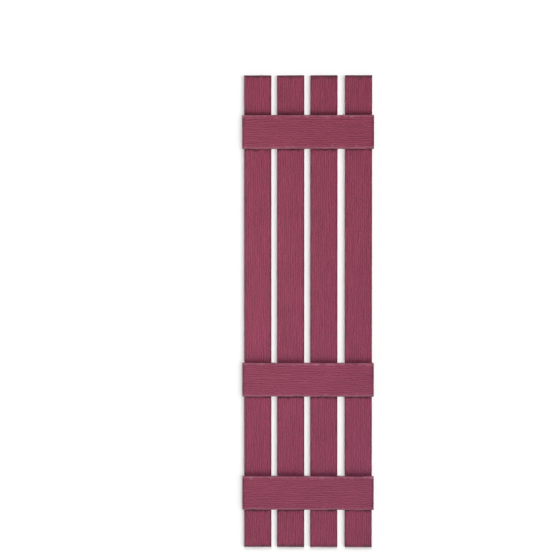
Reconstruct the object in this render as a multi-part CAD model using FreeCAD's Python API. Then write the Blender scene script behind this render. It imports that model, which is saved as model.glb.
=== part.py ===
# Board and batten window shutter: four spaced upright boards carried by three battens across their fronts.
# Every board and batten is a moulded plastic tray, closed in front and open at the back, stiffened by ribs.
# Screws driven from behind, inside the boards, hold the battens: a board has the clearance holes, a batten
# has the bosses. Nothing moves, because the shutter is fixed flat on a wall.
# Frame: +X to the right across the boards, +Y into the wall, +Z up. The origin is the lower left corner of
# the shutter's back, on the wall. Sizes are in millimetres and angles in degrees.
import FreeCAD
import Part
import math
import os

# Boards
BOARD_WIDTH = 77.5
BOARD_LENGTH = 1346.0
BOARD_THICKNESS = 16.0
BOARD_EDGE_RADIUS = 4.0
LEFT_GAP = 16.5
MIDDLE_GAP = 17.0
RIGHT_GAP = 21.0

# Battens
BATTEN_HEIGHT = 96.5
BATTEN_THICKNESS = 12.0
BATTEN_EDGE_RADIUS = 3.5
BATTEN_OVERHANG = 5.1
TOP_BATTEN_DROP = 113.3        # from the boards' top ends down to the top batten
BOTTOM_BATTEN_RISE = 108.5     # from the boards' lower ends up to the bottom batten
MIDDLE_BATTEN_RISE = 226.6     # from the bottom batten up to the middle batten

# Moulding
WALL = 2.5
DRAFT = 1.5
RIB_THICKNESS = 2.0
RIB_SETBACK = 1.5              # ribs stop this far short of a tray's open rim
RIB_SPACING = 125.0            # most that two ribs of a board stand apart
BATTEN_RIB_INSET = 10.0        # a board's ribs stand this far inside the edges of each batten

# Screw joints between board and batten
SCREWS_ACROSS = 36.0
SCREWS_UPRIGHT = 46.0
SCREW_HOLE = 4.6
PILOT_HOLE = 3.2
PILOT_DEPTH = 8.5
BOSS_DIAMETER = 9.0

GAPS = (LEFT_GAP, MIDDLE_GAP, RIGHT_GAP)
BOARD_NAMES = ("left_board", "inner_left_board", "inner_right_board", "right_board")


def profile(size, depth, radius, place):
    """A drafted cross-section, size across at the back, with both front corners rounded by tangent arcs.

    place turns a distance across and a depth into a point.
    """
    lean = math.radians(DRAFT)
    centre_depth = radius - depth
    centre = (radius - centre_depth * math.sin(lean)) / math.cos(lean)
    half_turn = (math.pi / 2 + lean) / 2
    front = [(centre - radius * math.cos(turn), centre_depth - radius * math.sin(turn))
             for turn in (lean, half_turn, math.pi / 2)]
    left = [place(across, y) for across, y in front]
    right = [place(size - across, y) for across, y in reversed(front)]
    back_left = place(0.0, 0.0)
    back_right = place(size, 0.0)
    edges = [Part.makeLine(back_left, left[0]),
             Part.Arc(*left).toShape(),
             Part.makeLine(left[2], right[0]),
             Part.Arc(*right).toShape(),
             Part.makeLine(right[2], back_right),
             Part.makeLine(back_right, back_left)]
    return Part.Face(Part.Wire(edges))


def block(width, height, depth, radius):
    """A drafted block, width by height at the back, with its front edges rounded on all four sides."""
    across = profile(width, depth, radius, lambda x, y: FreeCAD.Vector(x, y, 0))
    upright = profile(height, depth, radius, lambda z, y: FreeCAD.Vector(0, y, z))
    return across.extrude(FreeCAD.Vector(0, 0, height)).common(upright.extrude(FreeCAD.Vector(width, 0, 0)))


def tray(width, height, depth, radius, rib_plates):
    """A block hollowed from the back, with the same draft inside, and rib plates standing in the hollow."""
    outside = block(width, height, depth, radius)
    floor = WALL - depth
    narrow = WALL - floor * math.tan(math.radians(DRAFT))
    hollow = Part.makeWedge(narrow, floor, narrow, WALL, WALL,
                            width - narrow, 0.0, height - narrow, height - WALL, width - WALL)
    return outside.cut(hollow.cut(rib_plates))


def rib(x_size, z_size, depth, x, z):
    """A plate across a tray, centred on x and z, that stops short of the open rim."""
    corner = FreeCAD.Vector(x - x_size / 2, -depth, z - z_size / 2)
    return Part.makeBox(x_size, depth - RIB_SETBACK, z_size, corner)


def rod(diameter, x, z, y_back, y_front):
    """A round bar or hole along Y from y_back forward to y_front."""
    return Part.makeCylinder(diameter / 2, y_back - y_front, FreeCAD.Vector(x, y_back, z),
                             FreeCAD.Vector(0, -1, 0))


def board_starts():
    """The left edge of each board."""
    starts = [0.0]
    for gap in GAPS:
        starts.append(starts[-1] + BOARD_WIDTH + gap)
    return starts


def batten_bottoms():
    """The lower edge of each batten, by name."""
    bottom = BOTTOM_BATTEN_RISE
    middle = bottom + BATTEN_HEIGHT + MIDDLE_BATTEN_RISE
    top = BOARD_LENGTH - TOP_BATTEN_DROP - BATTEN_HEIGHT
    return {"bottom_batten": bottom, "middle_batten": middle, "top_batten": top}


def screw_offsets():
    """Where the two screws of a crossing stand from its centre: on a diagonal, out of line."""
    return [(side * SCREWS_ACROSS / 2, side * SCREWS_UPRIGHT / 2) for side in (-1, 1)]


def rib_heights():
    """Heights of a board's ribs: two under each batten, and evenly between these and the ends."""
    stations = []
    for bottom in sorted(batten_bottoms().values()):
        stations += [bottom + BATTEN_RIB_INSET, bottom + BATTEN_HEIGHT - BATTEN_RIB_INSET]
    heights = list(stations)
    limits = [0.0] + stations + [BOARD_LENGTH]
    for low, high in zip(limits[0::2], limits[1::2]):
        bays = math.ceil((high - low) / RIB_SPACING)
        heights += [low + (high - low) * i / bays for i in range(1, bays)]
    return sorted(heights)


def make_board():
    """One board at the left edge, with the holes for the screws of every batten."""
    plates = [rib(BOARD_WIDTH, RIB_THICKNESS, BOARD_THICKNESS, BOARD_WIDTH / 2, z) for z in rib_heights()]
    board = tray(BOARD_WIDTH, BOARD_LENGTH, BOARD_THICKNESS, BOARD_EDGE_RADIUS, plates)
    holes = []
    for bottom in batten_bottoms().values():
        for dx, dz in screw_offsets():
            x = BOARD_WIDTH / 2 + dx
            z = bottom + BATTEN_HEIGHT / 2 + dz
            holes.append(rod(SCREW_HOLE, x, z, 0.0, -2 * BOARD_THICKNESS))
    return board.cut(holes)


def make_batten():
    """One batten with its lower edge at zero height, seated on the boards' fronts."""
    length = board_starts()[-1] + BOARD_WIDTH + 2 * BATTEN_OVERHANG
    middle = BATTEN_HEIGHT / 2
    plates = [rib(length, RIB_THICKNESS, BATTEN_THICKNESS, length / 2, middle)]
    for start, gap in zip(board_starts()[1:], GAPS):
        x = BATTEN_OVERHANG + start - gap / 2
        plates.append(rib(RIB_THICKNESS, BATTEN_HEIGHT, BATTEN_THICKNESS, x, middle))
    bosses = []
    pilots = []
    for start in board_starts():
        for dx, dz in screw_offsets():
            x = BATTEN_OVERHANG + start + BOARD_WIDTH / 2 + dx
            bosses.append(rod(BOSS_DIAMETER, x, middle + dz, 0.0, -BATTEN_THICKNESS))
            pilots.append(rod(PILOT_HOLE, x, middle + dz, 0.0, -PILOT_DEPTH))
    batten = tray(length, BATTEN_HEIGHT, BATTEN_THICKNESS, BATTEN_EDGE_RADIUS, plates + bosses)
    batten = batten.cut(pilots)
    batten.translate(FreeCAD.Vector(-BATTEN_OVERHANG, -BOARD_THICKNESS, 0))
    return batten


def write_node(name, shape):
    """Writes one sub-part as a STEP file named after it."""
    if not shape.isValid():
        raise ValueError(name + " is not a valid solid")
    shape.exportStep(os.path.join("parts", name + ".step"))
    print(name, len(shape.Solids), "solid", round(shape.Volume / 1000, 1), "cm3")


os.makedirs("parts", exist_ok=True)
board = make_board()
for name, start in zip(BOARD_NAMES, board_starts()):
    write_node(name, board.translated(FreeCAD.Vector(start, 0, 0)))
batten = make_batten()
for name, bottom in batten_bottoms().items():
    write_node(name, batten.translated(FreeCAD.Vector(0, 0, bottom)))
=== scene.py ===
import bmesh
import bpy
import math
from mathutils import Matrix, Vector, noise


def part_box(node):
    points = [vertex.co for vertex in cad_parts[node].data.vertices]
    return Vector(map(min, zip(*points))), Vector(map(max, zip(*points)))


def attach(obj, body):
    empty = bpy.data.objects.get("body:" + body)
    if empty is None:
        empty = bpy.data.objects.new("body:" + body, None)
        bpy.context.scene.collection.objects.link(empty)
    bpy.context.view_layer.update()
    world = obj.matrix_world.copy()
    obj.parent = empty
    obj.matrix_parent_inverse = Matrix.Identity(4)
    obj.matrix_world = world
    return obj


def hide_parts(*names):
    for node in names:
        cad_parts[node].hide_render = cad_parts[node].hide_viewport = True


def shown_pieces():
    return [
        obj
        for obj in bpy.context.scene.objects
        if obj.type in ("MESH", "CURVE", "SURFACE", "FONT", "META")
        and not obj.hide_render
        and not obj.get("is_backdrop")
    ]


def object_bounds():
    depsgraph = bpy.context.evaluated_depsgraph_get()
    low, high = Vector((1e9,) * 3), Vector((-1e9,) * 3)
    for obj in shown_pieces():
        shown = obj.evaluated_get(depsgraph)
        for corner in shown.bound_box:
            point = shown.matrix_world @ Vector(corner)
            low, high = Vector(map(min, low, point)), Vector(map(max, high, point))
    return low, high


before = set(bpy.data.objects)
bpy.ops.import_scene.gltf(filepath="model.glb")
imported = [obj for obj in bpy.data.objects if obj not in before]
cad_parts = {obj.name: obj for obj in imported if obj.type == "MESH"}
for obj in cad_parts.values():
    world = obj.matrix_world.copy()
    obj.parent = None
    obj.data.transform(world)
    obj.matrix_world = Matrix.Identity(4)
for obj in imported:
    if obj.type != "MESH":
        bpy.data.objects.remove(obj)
cad_low, cad_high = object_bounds()


# Boards: four uprights, each a plastic tray moulded in one piece, with a cedar grain pressed into its face.
# The colour runs through the plastic; shade along the front edges and a shadow under each batten are painted
# on. The grain stands in ridges and grooves, the edges are rounded, and the open back keeps its ribs and the
# holes for the screws that hold the battens.

BOARDS = ("left_board", "inner_left_board", "inner_right_board", "right_board")
BOARD_EDGE_RADIUS = 0.004
DRAFT = math.radians(1.5)       # lean of the moulded side walls
GRAIN_RELIEF = 0.00045          # from the ridges down to the deepest grooves
GRAIN_PITCH = 0.0060            # from one ridge to the next
GRAIN_GROUND = 0.48             # depth of the plain ground, with 0 on a ridge and 1 in a groove
LINES_SHARE = 0.60              # how much the lines, ticks and broad bands of the grain add to it
TICKS_SHARE = 0.33
BANDS_SHARE = 0.06
BOARD_SWAY = 0.0010             # how far the grain bends from a straight line
EDGE_WANDER = 0.0002            # how far the pressed edges stray inward from a straight line
WANDER_LENGTH = 0.055
WANDER_REACH = 3 * BOARD_EDGE_RADIUS
STEP_ACROSS_GRAIN = 0.00075
STEP_ALONG_GRAIN = 0.0022
EDGE_STEPS = 8                  # mesh lines round each rounded edge
SEAM = 0.0001                   # a CAD corner this near the outside belongs to it
CREASE = math.radians(40)       # edges that turn by more than this stay sharp
FAR = 1.0                       # stands for no edge or seam near


def edge_centre(thickness, radius):
    """How far inside the rim an edge's rounding has its centre, on a wall that leans in by the draft."""
    return (radius + (thickness - radius) * math.sin(DRAFT)) / math.cos(DRAFT)


def skin_places(size, thickness, radius, step):
    """Where mesh lines run over one way of a moulding: close together round its two edges, even between."""
    centre = edge_centre(thickness, radius)
    edge = [0.0]
    for i in range(EDGE_STEPS + 1):
        turn = DRAFT + (math.pi / 2 - DRAFT) * i / EDGE_STEPS
        edge.append(centre - radius * math.cos(turn))
    count = math.ceil((size - 2 * centre) / step)
    flat = [centre + (size - 2 * centre) * i / count for i in range(1, count)]
    return edge + flat + [size - place for place in reversed(edge)]


def skin_depth(place, size, thickness, radius):
    """How far the outside stands in front of the rim, at a place between two edges."""
    inside = edge_centre(thickness, radius) - max(min(place, size - place), 0.0)
    if inside <= 0.0:
        return thickness
    if inside < radius * math.cos(DRAFT):
        return thickness - radius + math.sqrt(radius ** 2 - inside ** 2)
    return max(min(place, size - place), 0.0) / math.tan(DRAFT)


def tray_depth(across, along, size, radius):
    """How far the outside of a tray stands in front of its rim: the lower of its two crossed profiles."""
    return min(skin_depth(across, size.x, size.y, radius), skin_depth(along, size.z, size.y, radius))


def uneven(across, along, figure, width, length):
    """Smooth unevenness between -1 and 1, in patches of about that width and length."""
    return noise.noise((across / width, along / length, figure))


def tick(across, along, figure):
    """Short broken marks of the grain, from a ridge at -1 to a groove at 1."""
    return uneven(across, along, figure + 8.7, width=0.0022, length=0.0060)


def grain_depth(across, along, figure, sway):
    """How deep the pressed grain lies, 0 on a ridge and 1 in a groove; figure picks a stretch of the pattern.

    Even lines run side by side and sway a little. They drift, fade in and out, and are broken by short ticks.
    """
    across += sway * uneven(across, along, figure, width=0.05, length=0.15)
    drift = 0.50 * uneven(across, along, figure + 2.3, width=0.014, length=0.05)
    fade = 0.48 + 1.25 * uneven(across, along, figure + 5.1, width=0.0085, length=0.014)
    lines = fade * math.sin(2 * math.pi * (across / GRAIN_PITCH + drift))
    beside = tick(across - GRAIN_PITCH / 2, along, figure) + tick(across + GRAIN_PITCH / 2, along, figure)
    ticks = tick(across, along, figure) - beside / 2
    bands = uneven(across, along, figure + 11.9, width=0.0075, length=0.09)
    depth = GRAIN_GROUND + LINES_SHARE * lines + TICKS_SHARE * ticks + BANDS_SHARE * bands
    return min(max(depth, 0.0), 1.0)


def stray(distance, along, figure):
    """How far a point near an edge lies inside its straight line."""
    near = max(0.0, 1.0 - distance / WANDER_REACH)
    return near * EDGE_WANDER * (0.5 + 0.5 * noise.noise((along / WANDER_LENGTH, figure, 0.5)))


def hollow_back(name, radius):
    """A CAD tray as an open mesh, without its outside and without the flat rim round its open back."""
    low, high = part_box(name)
    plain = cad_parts[name].data

    def is_outside(co):
        return abs(high.y - co.y - tray_depth(co.x - low.x, co.z - low.z, high - low, radius)) < SEAM

    def is_rim(co):
        return abs(co.y - high.y) < SEAM

    bm = bmesh.new()
    corners = [bm.verts.new(v.co) for v in plain.vertices]
    for polygon in plain.polygons:
        bm.faces.new([corners[i] for i in polygon.vertices])
    bmesh.ops.remove_doubles(bm, verts=bm.verts, dist=SEAM / 50)
    going = [f for f in bm.faces
             if all(is_outside(v.co) for v in f.verts) or all(is_rim(v.co) for v in f.verts)]
    bmesh.ops.delete(bm, geom=going, context="FACES")
    return bm


def hole_centres(bm, back):
    """The middles of the round holes that open on the outside of a hollow back."""
    centres = []
    left = [e for e in bm.edges if e.is_boundary and e.verts[0].co.y < back - SEAM]
    while left:
        ring = [left.pop()]
        for edge in ring:
            near = [e for v in edge.verts for e in v.link_edges if e in left]
            left = [e for e in left if e not in near]
            ring.extend(near)
        centres.append(sum((v.co for e in ring for v in e.verts), Vector()) / (2 * len(ring)))
    return centres


def grained_skin(bm, low, high, radius, columns, rows, grain, figure, seams):
    """Rows of points over the outside of a tray, sunk by the grain, each with the values its finish needs.

    groove is how deep the grain is, and face is 1 on the front and 0 on the sides. The others are distances
    from the side edges, from the end edges, and from the seams, the heights of the battens' lower edges. The
    finish uses them to place the shade, highlight and shadow it paints along these.
    """
    groove = bm.verts.layers.float.new("groove")
    face = bm.verts.layers.float.new("face")
    from_side = bm.verts.layers.float.new("from_side")
    from_end = bm.verts.layers.float.new("from_end")
    from_seam = bm.verts.layers.float.new("from_seam")
    for vert in bm.verts:
        vert[from_side] = FAR
        vert[from_end] = FAR
        vert[from_seam] = FAR
    size = high - low
    grid = []
    for along in rows:
        line = []
        for across in columns:
            depth = tray_depth(across, along, size, radius)
            x = low.x + across
            z = low.z + along
            behind = size.y - depth
            level = max(0.0, 1.0 - 2 * behind / radius)
            sink = level * grain(x, z)
            raised = depth / size.y
            inward_x = stray(across, z, figure) - stray(size.x - across, z, figure + 4)
            inward_z = stray(along, x, figure + 8) - stray(size.z - along, x, figure + 12)
            y = high.y - depth + GRAIN_RELIEF * sink
            vert = bm.verts.new((x + raised * inward_x, y, z + raised * inward_z))
            vert[groove] = sink
            vert[face] = level
            vert[from_side] = max(min(across, size.x - across), behind)
            vert[from_end] = max(min(along, size.z - along), behind)
            vert[from_seam] = max(min(abs(z - height) for height in seams), behind)
            line.append(vert)
        grid.append(line)
    return grid


def join_skin(bm, grid, holes, room):
    """Faces between the rows of a skin, with room left round each hole.

    At a corner two rounded edges meet in a crease. The faces on it are split along it, not across it.
    """
    last_row = len(grid) - 2
    last_column = len(grid[0]) - 2
    for j, (lower, upper) in enumerate(zip(grid, grid[1:])):
        for i in range(last_column + 1):
            corners = (lower[i], lower[i + 1], upper[i + 1], upper[i])
            if any(abs(v.co.x - c.x) < room and abs(v.co.z - c.z) < room for c in holes for v in corners):
                continue
            patch = bm.faces.new(corners)
            in_row = min(j, last_row - j)
            if in_row == min(i, last_column - i) and in_row <= EDGE_STEPS:
                start = 0 if (in_row == j) == (in_row == i) else 1
                bmesh.utils.face_split(patch, corners[start], corners[start + 2])


def close_tray(bm, holes, room):
    """Joins a skin to the holes and to the rim of the open back, and turns every face outward."""
    bmesh.ops.delete(bm, geom=[v for v in bm.verts if not v.link_faces], context="VERTS")
    gaps = [e for e in bm.edges if e.is_boundary]
    for c in holes:
        ring = [e for e in gaps if all((v.co - c).length < 3 * room for v in e.verts)]
        bmesh.ops.triangle_fill(bm, use_beauty=True, edges=ring, normal=(0, -1, 0))
    rim = [e for e in bm.edges if e.is_boundary]
    bmesh.ops.triangle_fill(bm, use_beauty=True, edges=rim, normal=(0, 1, 0))
    bmesh.ops.recalc_face_normals(bm, faces=bm.faces)
    if bm.calc_volume(signed=True) < 0.0:
        bmesh.ops.reverse_faces(bm, faces=bm.faces)


def smooth_mesh(bm, name):
    """A finished mesh, smooth except where it turns sharply."""
    mesh = bpy.data.meshes.new(name)
    bm.to_mesh(mesh)
    bm.free()
    mesh.shade_smooth()
    mesh.set_sharp_from_angle(angle=CREASE)
    return mesh


def moulding(name, radius, column_step, row_step, grain, figure, seams):
    """A closed mesh for a CAD tray: its own hollow back, and a grained outside in place of the plain one."""
    low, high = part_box(name)
    size = high - low
    columns = skin_places(size.x, size.y, radius, column_step)
    rows = skin_places(size.z, size.y, radius, row_step)
    room = 2 * max(column_step, row_step)
    bm = hollow_back(name, radius)
    holes = hole_centres(bm, high.y)
    grid = grained_skin(bm, low, high, radius, columns, rows, grain, figure, seams)
    join_skin(bm, grid, holes, room)
    close_tray(bm, holes, room)
    return smooth_mesh(bm, name + "_moulding")


NOISE_RANGE = (0.3, 0.7)        # nearly all of a noise texture's values lie between these
PATCH_RANGE = (0.35, 0.65)      # closer, for patches with clearer borders


def add_node(tree, kind, inputs=None, **settings):
    """A shader node with its settings made, and its inputs set or linked to another node's socket."""
    made = tree.nodes.new(kind)
    for setting, value in settings.items():
        setattr(made, setting, value)
    for socket, value in (inputs or {}).items():
        if isinstance(value, bpy.types.NodeSocket):
            tree.links.new(value, made.inputs[socket])
        else:
            made.inputs[socket].default_value = value
    return made


def mixed(tree, factor, first, second):
    """The colour part of the way from the first to the second."""
    return add_node(tree, "ShaderNodeMix", {0: factor, 6: first, 7: second}, data_type="RGBA").outputs[2]


def worked_out(tree, operation, first, second, use_clamp=False):
    """The result of a sum with two values."""
    node = add_node(tree, "ShaderNodeMath", {0: first, 1: second}, operation=operation, use_clamp=use_clamp)
    return node.outputs[0]


def spread(tree, value, low, high, to_low, to_high, curve="LINEAR"):
    """A value carried from one range to another, and held there."""
    ranges = {"Value": value, "From Min": low, "From Max": high, "To Min": to_low, "To Max": to_high}
    return add_node(tree, "ShaderNodeMapRange", ranges, interpolation_type=curve).outputs[0]


def mottle(tree, place, scale, detail):
    """Soft spots all over a surface, smaller the larger the scale."""
    spots = add_node(tree, "ShaderNodeTexNoise", {"Vector": place, "Scale": scale, "Detail": detail})
    return spots.outputs["Fac"]


def measured(tree, name):
    """A value that the mesh holds at each of its points."""
    return add_node(tree, "ShaderNodeAttribute", attribute_name=name).outputs["Fac"]


def painted_edge_shade_and_highlight(group, given, place, color):
    """The colour with the painted shade and highlight of Side, End and Seam laid over it, ragged at their
    borders and patchy.
    """
    rough_edge = mottle(group, place, scale=70.0, detail=2.0)
    patches = mottle(group, place, scale=24.0, detail=1.0)
    for name in ("Side", "End", "Seam"):
        raggedness = spread(group, rough_edge, *NOISE_RANGE, 0.55, 1.75)
        distance = worked_out(group, "MULTIPLY", measured(group, "from_" + name.lower()), raggedness)
        patchiness = spread(group, patches, *PATCH_RANGE, 0.6, 1.3)
        amount = worked_out(group, "MULTIPLY", given[name + " Amount"], patchiness, use_clamp=True)
        reach = spread(group, distance, 0.0, given[name + " Fade"], amount, 0.0, curve="SMOOTHSTEP")
        color = mixed(group, reach, color, given[name + " Color"])
    return color


def pressed_grain_group():
    """The finish of the grained plastic: paler on the ridges, deeper in the grooves, plain on other sides.

    Side, End and Seam paint light and shade over the plastic: painted shade along its left and right front
    edges, painted shade or a painted highlight along its top and bottom front edges, and a painted shadow
    along a batten's lower edge. Fade is how far that reaches, and Amount how strong it is there.
    """
    group = bpy.data.node_groups.new("pressed_grain", "ShaderNodeTree")
    sockets = group.interface
    for name in ("Ridge", "Groove", "Plain", "Side", "End", "Seam"):
        sockets.new_socket(name + " Color", in_out="INPUT", socket_type="NodeSocketColor")
    for name in ("Side", "End", "Seam"):
        sockets.new_socket(name + " Fade", in_out="INPUT", socket_type="NodeSocketFloat")
        sockets.new_socket(name + " Amount", in_out="INPUT", socket_type="NodeSocketFloat")
    sockets.new_socket("Grain Stretch", in_out="INPUT", socket_type="NodeSocketVector")
    sockets.new_socket("Color", in_out="OUTPUT", socket_type="NodeSocketColor")
    sockets.new_socket("Roughness", in_out="OUTPUT", socket_type="NodeSocketFloat")
    sockets.new_socket("Height", in_out="OUTPUT", socket_type="NodeSocketFloat")
    given = add_node(group, "NodeGroupInput").outputs
    place = add_node(group, "ShaderNodeTexCoord").outputs["Object"]
    face = measured(group, "face")

    stretched = add_node(group, "ShaderNodeVectorMath", {0: place, 1: given["Grain Stretch"]},
                         operation="MULTIPLY").outputs[0]
    fibres = add_node(group, "ShaderNodeTexNoise", {"Vector": stretched, "Scale": 1.0, "Detail": 3.0,
                                                    "Roughness": 0.6}).outputs["Fac"]
    speckle = mottle(group, place, scale=330.0, detail=1.0)
    fine = worked_out(group, "ADD", spread(group, fibres, *NOISE_RANGE, -0.22, 0.22),
                      spread(group, speckle, *NOISE_RANGE, -0.25, 0.25))
    deep = worked_out(group, "ADD", measured(group, "groove"), fine, use_clamp=True)
    grained = mixed(group, deep, given["Ridge Color"], given["Groove Color"])
    streaks = spread(group, fibres, *NOISE_RANGE, 0.0, 0.25)
    streaked = mixed(group, streaks, given["Plain Color"], given["Groove Color"])
    with_painted_edges = painted_edge_shade_and_highlight(group, given, place, mixed(group, face, streaked, grained))

    cloud = mottle(group, place, scale=14.0, detail=2.0)
    clouded = add_node(group, "ShaderNodeHueSaturation",
                       {"Color": with_painted_edges, "Value": spread(group, cloud, *NOISE_RANGE, 0.95, 1.05)})
    stipple = mottle(group, place, scale=1100.0, detail=2.0)
    height = add_node(group, "ShaderNodeMix", {0: face, 2: stipple, 3: fibres}, data_type="FLOAT").outputs[0]
    roughness = spread(group, deep, 0.0, 1.0, 0.48, 0.62)
    add_node(group, "NodeGroupOutput",
             {"Color": clouded.outputs["Color"], "Roughness": roughness, "Height": height})
    return group


pressed_grain = pressed_grain_group()


def grained_plastic(name, values):
    """Wine red plastic with the pressed grain; values are for the inputs of the finish."""
    material = bpy.data.materials.new(name)
    material.use_nodes = True
    tree = material.node_tree
    shader = tree.nodes["Principled BSDF"]
    finish = add_node(tree, "ShaderNodeGroup", node_tree=pressed_grain)
    for socket, value in values.items():
        finish.inputs[socket].default_value = value
    bump = add_node(tree, "ShaderNodeBump",
                    {"Height": finish.outputs["Height"], "Strength": 0.5, "Distance": 0.0003})
    tree.links.new(finish.outputs["Color"], shader.inputs["Base Color"])
    tree.links.new(finish.outputs["Roughness"], shader.inputs["Roughness"])
    tree.links.new(bump.outputs["Normal"], shader.inputs["Normal"])
    shader.inputs["Specular IOR Level"].default_value = 0.25
    return material


board_plastic = grained_plastic("board_plastic", {
    "Ridge Color": (0.327, 0.055, 0.104, 1.0),
    "Groove Color": (0.165, 0.023, 0.049, 1.0),
    "Plain Color": (0.262, 0.043, 0.081, 1.0),
    # Side and End are painted shade along the boards' rounded front edges and darker top and bottom ends;
    # Seam is a near-black painted shadow on each board just below a batten.
    "Side Color": (0.100, 0.022, 0.040, 1.0),
    "Side Fade": 0.0075,
    "Side Amount": 0.65,
    "End Color": (0.070, 0.024, 0.034, 1.0),
    "End Fade": 0.015,
    "End Amount": 0.95,
    "Seam Color": (0.020, 0.002, 0.005, 1.0),
    "Seam Fade": 0.0095,
    "Seam Amount": 1.0,
    "Grain Stretch": (600.0, 600.0, 18.0),
})
BATTENS = ("bottom_batten", "middle_batten", "top_batten")
batten_feet = [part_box(name)[0].z for name in BATTENS]
for number, name in enumerate(BOARDS):
    figure = 20.0 * number
    mesh = moulding(name, BOARD_EDGE_RADIUS, STEP_ACROSS_GRAIN, STEP_ALONG_GRAIN,
                    lambda x, z: grain_depth(x, z, figure, BOARD_SWAY), figure, batten_feet)
    mesh.materials.append(board_plastic)
    board = bpy.data.objects.new(name + "_grained", mesh)
    bpy.context.scene.collection.objects.link(board)
    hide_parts(name)
    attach(board, "root")


# Battens: three cross pieces of the same plastic, shallower trays than the boards, with a level grain.
# They lie face to face on the boards' fronts and stick out a little past the outer boards at both ends.
# Bosses inside take the screws, and ribs inside show from behind through the gaps between the boards.

BATTEN_EDGE_RADIUS = 0.0035
BATTEN_SWAY = 0.0040

batten_plastic = grained_plastic("batten_plastic", {
    "Ridge Color": (0.326, 0.057, 0.103, 1.0),
    "Groove Color": (0.166, 0.024, 0.050, 1.0),
    "Plain Color": (0.262, 0.044, 0.081, 1.0),
    # Side is painted shade at the batten's two ends, End a pale painted highlight along its top and bottom
    # front edges, and Seam painted shade along its lower edge.
    "Side Color": (0.100, 0.024, 0.042, 1.0),
    "Side Fade": 0.010,
    "Side Amount": 0.85,
    "End Color": (0.500, 0.190, 0.250, 1.0),
    "End Fade": 0.009,
    "End Amount": 0.70,
    "Seam Color": (0.030, 0.004, 0.009, 1.0),
    "Seam Fade": 0.0058,
    "Seam Amount": 1.0,
    "Grain Stretch": (18.0, 600.0, 600.0),
})
for number, name in enumerate(BATTENS):
    figure = 100.0 + 20.0 * number
    mesh = moulding(name, BATTEN_EDGE_RADIUS, STEP_ALONG_GRAIN, STEP_ACROSS_GRAIN,
                    lambda x, z: grain_depth(z, x, figure, BATTEN_SWAY), figure, [batten_feet[number]])
    mesh.materials.append(batten_plastic)
    batten = bpy.data.objects.new(name + "_grained", mesh)
    bpy.context.scene.collection.objects.link(batten)
    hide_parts(name)
    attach(batten, "root")


# Screws: zinc-plated pan-head screws with a cross recess, two at each crossing of a board and a batten.
# They are driven from behind: the head seats inside the board's tray, and the shank bites in a boss.

SCREWS_ACROSS = 0.036           # from one screw of a crossing to the other, level and upright
SCREWS_UPRIGHT = 0.046
BOARD_WALL = 0.0025             # the head seats on the inside of the board's front wall
HEAD_RADIUS = 0.0040
HEAD_HEIGHT = 0.0026
HEAD_SIDE = 0.55                # share of the head's height where its rounded shoulder starts
DOME_SHARE = 0.94               # share of the head's radius that is dome, inside the shoulder
DOME_FALL = 0.0007              # from the middle of the dome to its border
SHANK_RADIUS = 0.0017
SHANK_LENGTH = 0.0095
TIP_LENGTH = 0.0015
TIP_SHARE = 0.3                 # the blunt end, as a share of the shank's radius
RECESS_DEPTH = 0.0014
RECESS_ARM = 0.0022
RECESS_HALF_WIDTH = 0.0006
RECESS_SLOPE = 0.0003
SCREW_SIDES = 48
DOME_RINGS = 14


def recess(u, v):
    """Depth of the cross recess at a point of a screw's head."""
    def arm(along, across):
        side = min(max((RECESS_HALF_WIDTH + RECESS_SLOPE - abs(across)) / RECESS_SLOPE, 0.0), 1.0)
        end = min(max((RECESS_ARM - abs(along)) / (4 * RECESS_SLOPE), 0.0), 1.0)
        return side * end
    return RECESS_DEPTH * max(arm(u, v), arm(v, u))


def add_screw(bm, x, seat, z):
    """A screw with its head seated at depth seat, the head towards +Y and the shank towards -Y."""
    dome = [(HEAD_RADIUS * DOME_SHARE * i / DOME_RINGS, HEAD_HEIGHT - DOME_FALL * (i / DOME_RINGS) ** 2)
            for i in range(1, DOME_RINGS + 1)]
    side = [(HEAD_RADIUS, HEAD_HEIGHT * HEAD_SIDE), (HEAD_RADIUS, 0.0)]
    shank = [(SHANK_RADIUS, 0.0), (SHANK_RADIUS, TIP_LENGTH - SHANK_LENGTH),
             (SHANK_RADIUS * TIP_SHARE, -SHANK_LENGTH)]
    rings = []
    for radius, height in dome + side + shank:
        ring = []
        for i in range(SCREW_SIDES):
            turn = 2 * math.pi * i / SCREW_SIDES
            u = radius * math.cos(turn)
            v = radius * math.sin(turn)
            sunk = recess(u, v) if height > HEAD_HEIGHT / 2 else 0.0
            ring.append(bm.verts.new((x + u, seat + height - sunk, z + v)))
        rings.append(ring)
    for upper, lower in zip(rings, rings[1:]):
        for i in range(SCREW_SIDES):
            j = (i + 1) % SCREW_SIDES
            bm.faces.new((upper[i], upper[j], lower[j], lower[i]))
    top = bm.verts.new((x, seat + HEAD_HEIGHT - RECESS_DEPTH, z))
    for i in range(SCREW_SIDES):
        bm.faces.new((top, rings[0][(i + 1) % SCREW_SIDES], rings[0][i]))
    bm.faces.new(rings[-1])


zinc = bpy.data.materials.new("zinc_plating")
zinc.use_nodes = True
plating = zinc.node_tree
zinc_shader = plating.nodes["Principled BSDF"]
zinc_place = add_node(plating, "ShaderNodeTexCoord").outputs["Object"]
zinc_cloud = mottle(plating, zinc_place, scale=900.0, detail=3.0)
zinc_color = mixed(plating, zinc_cloud, (0.50, 0.50, 0.49, 1.0), (0.66, 0.67, 0.68, 1.0))
zinc_roughness = spread(plating, zinc_cloud, *NOISE_RANGE, 0.30, 0.46)
plating.links.new(zinc_color, zinc_shader.inputs["Base Color"])
plating.links.new(zinc_roughness, zinc_shader.inputs["Roughness"])
zinc_shader.inputs["Metallic"].default_value = 1.0

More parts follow.
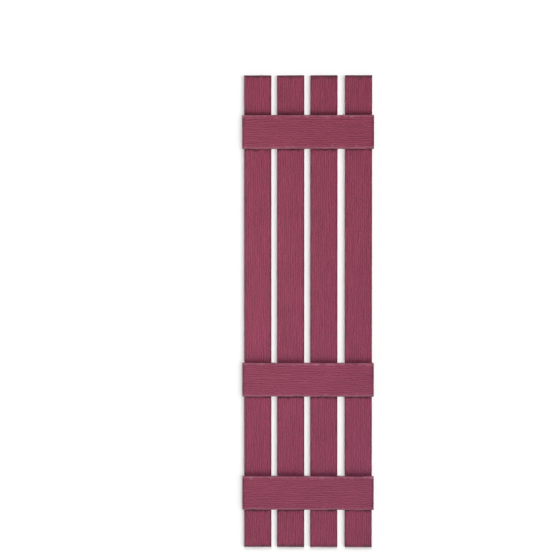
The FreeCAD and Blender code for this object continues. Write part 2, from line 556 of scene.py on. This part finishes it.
for batten_name in BATTENS:
    bm = bmesh.new()
    batten_low, batten_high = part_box(batten_name)
    for board_name in BOARDS:
        board_low, board_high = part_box(board_name)
        for side in (-1, 1):
            add_screw(bm, (board_low.x + board_high.x + side * SCREWS_ACROSS) / 2, board_low.y + BOARD_WALL,
                      (batten_low.z + batten_high.z + side * SCREWS_UPRIGHT) / 2)
    bmesh.ops.recalc_face_normals(bm, faces=bm.faces)
    mesh = smooth_mesh(bm, batten_name + "_screws")
    mesh.materials.append(zinc)
    screws = bpy.data.objects.new(batten_name + "_screws", mesh)
    bpy.context.scene.collection.objects.link(screws)
    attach(screws, "root")


# Stage: a plain white wall that the shutter hangs on and a pale floor below it, seen from the front only.
# What the camera sees of them is lifted to white, and the shutter's shadow stays.

WALL_CLEARANCE = 0.0006
STAGE_HALF = 30.0
FLOOR_DROP = 1.0
STAGE_WHITE = (0.50, 0.50, 0.50, 1.0)
WALL_LIFT = 0.06
FLOOR_LIFT = 0.40

backdrop = bpy.data.collections.new("backdrop")


def stage_sheet(name, corners, camera_lift):
    """A one-sided white sheet of the stage; the lift is light that only the camera sees."""
    material = bpy.data.materials.new(name + "_paint")
    material.use_nodes = True
    paint = material.node_tree
    paint.nodes.clear()
    is_camera = add_node(paint, "ShaderNodeLightPath").outputs["Is Camera Ray"]
    matt = add_node(paint, "ShaderNodeBsdfDiffuse", {"Color": STAGE_WHITE}).outputs[0]
    lift = add_node(paint, "ShaderNodeEmission",
                    {"Strength": worked_out(paint, "MULTIPLY", is_camera, camera_lift)}).outputs[0]
    front = add_node(paint, "ShaderNodeAddShader", {0: matt, 1: lift}).outputs[0]
    clear = add_node(paint, "ShaderNodeBsdfTransparent").outputs[0]
    backfacing = add_node(paint, "ShaderNodeNewGeometry").outputs["Backfacing"]
    sided = add_node(paint, "ShaderNodeMixShader", {0: backfacing, 1: front, 2: clear}).outputs[0]
    add_node(paint, "ShaderNodeOutputMaterial", {"Surface": sided})
    mesh = bpy.data.meshes.new(name)
    mesh.from_pydata(corners, [], [(0, 1, 2, 3)])
    mesh.materials.append(material)
    sheet = bpy.data.objects.new(name, mesh)
    bpy.context.scene.collection.objects.link(sheet)
    sheet.visible_shadow = False
    backdrop.objects.link(sheet)
    sheet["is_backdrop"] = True


wall_corners = [(-STAGE_HALF, WALL_CLEARANCE, -FLOOR_DROP), (STAGE_HALF, WALL_CLEARANCE, -FLOOR_DROP),
                (STAGE_HALF, WALL_CLEARANCE, STAGE_HALF), (-STAGE_HALF, WALL_CLEARANCE, STAGE_HALF)]
floor_corners = [(-STAGE_HALF, -STAGE_HALF, -FLOOR_DROP), (STAGE_HALF, -STAGE_HALF, -FLOOR_DROP),
                 (STAGE_HALF, STAGE_HALF, -FLOOR_DROP), (-STAGE_HALF, STAGE_HALF, -FLOOR_DROP)]
stage_sheet("wall", wall_corners, WALL_LIFT)
stage_sheet("floor", floor_corners, FLOOR_LIFT)


# Light: plain soft studio lamps. A softbox stands in front on the left, a small cool one low on the right,
# and broad soft light comes up from the floor. The wall's own lights, from the right and above, throw the
# shadow to the lower left. Two softboxes behind the wall light the back and the ends for other views.

AMBIENT = 0.20
WALL_LIGHTS = ((10, 0.64), (20, 0.40), (28, 0.64))  # degrees to the right, strength
WIDE_WALL_LIGHTS = ((36, 0.78), (42, 0.34))         # only the boards throw a shadow in these
WALL_SOFTNESS = 10
WHITE = (1.0, 1.0, 1.0)

shutter = bpy.data.collections.new("shutter")
uprights = bpy.data.collections.new("uprights")
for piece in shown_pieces():
    shutter.objects.link(piece)
    if piece.name.endswith("_board_grained"):
        uprights.objects.link(piece)
middle = (cad_low + cad_high) / 2


def hang_lamp(lamp, place, lights):
    """Puts a lamp at place from the shutter's middle, facing it; it lights one collection and isn't seen."""
    held = bpy.data.objects.new(lamp.name, lamp)
    held.location = middle + Vector(place)
    held.rotation_euler = (-Vector(place)).to_track_quat("-Z", "Y").to_euler()
    held.visible_camera = False
    held.light_linking.receiver_collection = lights
    bpy.context.scene.collection.objects.link(held)
    return held


def softbox(name, place, side, watts, color=WHITE):
    """A square lamp near the shutter."""
    lamp = bpy.data.lights.new(name, "AREA")
    lamp.shape = "SQUARE"
    lamp.size = side
    lamp.energy = watts
    lamp.color = color
    hang_lamp(lamp, place, shutter)


def far_light(name, right, up, softness, strength, lights, shaded_by=None):
    """Even light from so many degrees to the right and up; softness is how wide an angle it comes from."""
    lamp = bpy.data.lights.new(name, "SUN")
    lamp.angle = math.radians(softness)
    lamp.energy = strength
    turn = math.radians(right)
    rise = math.radians(up)
    place = (math.sin(turn) * math.cos(rise), -math.cos(turn) * math.cos(rise), math.sin(rise))
    hang_lamp(lamp, place, lights).light_linking.blocker_collection = shaded_by


softbox("front_softbox", place=(-0.58, -0.86, 0.15), side=0.7, watts=3.35)
softbox("low_softbox", place=(0.30, -0.70, -0.52), side=0.4, watts=0.9, color=(0.25, 0.40, 1.0))
softbox("back_softbox", place=(-0.8, 2.4, 0.8), side=2.0, watts=110.0)
softbox("end_softbox", place=(1.6, 0.7, 1.6), side=0.8, watts=32.0)
far_light("floor_light", right=0, up=-51, softness=38, strength=2.15, lights=shutter)
for right, strength in WALL_LIGHTS:
    far_light("wall_light", right, 0, WALL_SOFTNESS, strength, backdrop)
for right, strength in WIDE_WALL_LIGHTS:
    far_light("wide_wall_light", right, 0, WALL_SOFTNESS, strength, backdrop, shaded_by=uprights)
far_light("upper_wall_light", right=5, up=32, softness=36, strength=2.96, lights=backdrop, shaded_by=uprights)

world = bpy.data.worlds.new("studio")
bpy.context.scene.world = world
world.use_nodes = True
sky = world.node_tree
sky.nodes.clear()
ray = add_node(sky, "ShaderNodeLightPath").outputs
mirrored = worked_out(sky, "MAXIMUM", ray["Is Glossy Ray"], ray["Is Transmission Ray"])
shown = worked_out(sky, "MAXIMUM", ray["Is Camera Ray"], mirrored)
ambient = add_node(sky, "ShaderNodeBackground", {"Color": (*WHITE, 1.0), "Strength": AMBIENT}).outputs[0]
white = add_node(sky, "ShaderNodeBackground", {"Color": (*WHITE, 1.0), "Strength": 1.0}).outputs[0]
either = add_node(sky, "ShaderNodeMixShader", {0: shown, 1: ambient, 2: white}).outputs[0]
add_node(sky, "ShaderNodeOutputWorld", {"Surface": either})
bpy.context.scene.view_settings.view_transform = "Standard"


# Camera: a long lens in front of the shutter, a little above its middle and to its right, looking slightly
# down and to the left.

CAMERA_PLACE = (0.2249, -5.5, 0.8897)
CAMERA_DOWN = math.radians(1.316)
CAMERA_LEFT = math.radians(1.280)
CAMERA_LENS = 123.88
SENSOR_WIDTH = 36.0

camera_data = bpy.data.cameras.new("camera")
camera_data.lens = CAMERA_LENS
camera_data.sensor_width = SENSOR_WIDTH
camera = bpy.data.objects.new("camera", camera_data)
camera.location = CAMERA_PLACE
camera.rotation_euler = (math.pi / 2 - CAMERA_DOWN, 0.0, CAMERA_LEFT)
bpy.context.scene.collection.objects.link(camera)
bpy.context.scene.camera = camera
